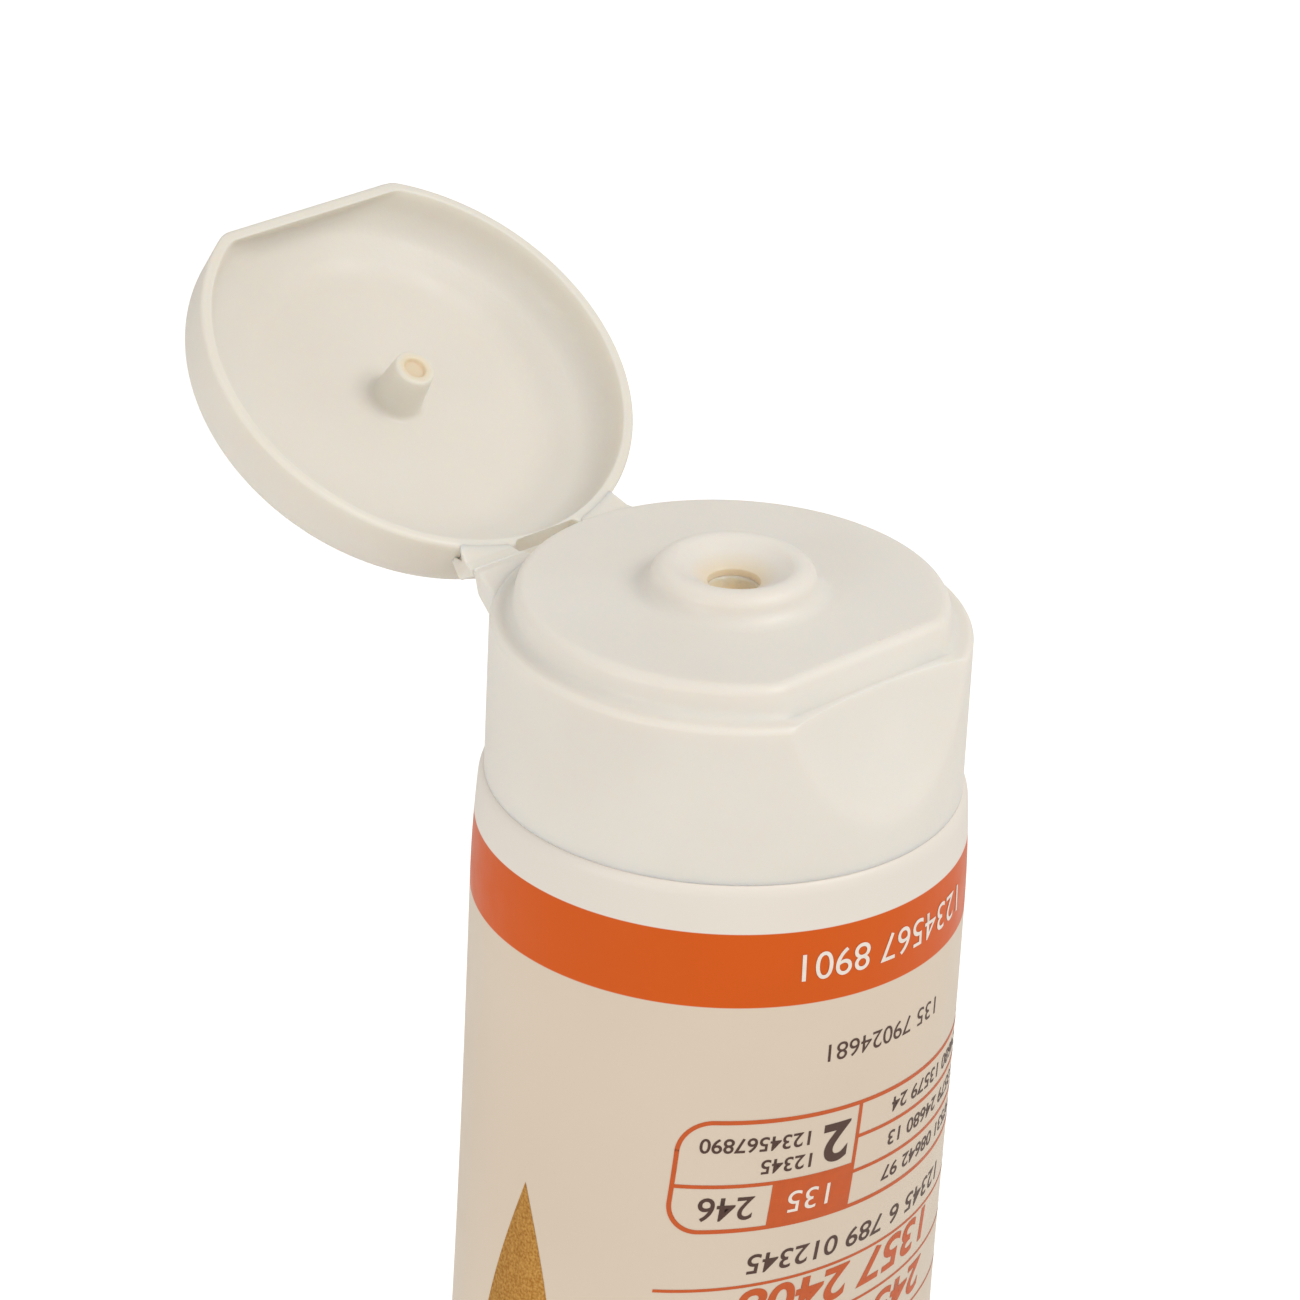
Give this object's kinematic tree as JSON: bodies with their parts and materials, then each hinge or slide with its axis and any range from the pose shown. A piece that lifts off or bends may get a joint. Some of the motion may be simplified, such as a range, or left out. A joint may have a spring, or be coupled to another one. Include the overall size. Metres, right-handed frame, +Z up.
{
  "type": "squeeze tube with flip-top cap",
  "caption": "Squeeze tube for cream with a crimped tail, a round shoulder and a keyed press-on flip-top cap, shown with its lid open.",
  "frame": {"origin": "middle of the tail's cut edge, at the bottom of the tube when it stands cap up", "axes": "+Z up the tube's axis to the cap; the thumb recess faces -Y; the lid's hinge lies along X on the +Y side; the welded tail lies along X"},
  "size_m": [0.055, 0.0662, 0.1258],
  "materials": {
    "sleeve_film": "printed and varnished polyethylene film, satin gloss",
    "head_plastic": "natural moulded polyethylene",
    "cap_plastic": "off-white moulded polypropylene, fine satin"
  },
  "bodies": {
    "container": {"tube_sleeve": "sleeve_film", "tail_seal": "sleeve_film", "tube_head": "head_plastic", "cap_base": "cap_plastic"},
    "lid": {"lid": "cap_plastic"},
    "snap_strap": {"hinge_strap": "cap_plastic"}
  },
  "joints": [
    {"name": "lid_hinge", "type": "hinge", "parent": "container", "child": "lid", "pos_m": [0, 0.01745, 0.10932], "axis": [-1, 0, 0], "range_deg": [-148, 12]},
    {"name": "strap_hinge", "type": "hinge", "parent": "container", "child": "snap_strap", "pos_m": [0, 0.0164, 0.10793], "axis": [-1, 0, 0], "range_deg": [-74.5, 6.5]}
  ],
  "couplings": [
    {"joint": "strap_hinge", "follows": "lid_hinge", "ratio": 0.5}
  ]
}
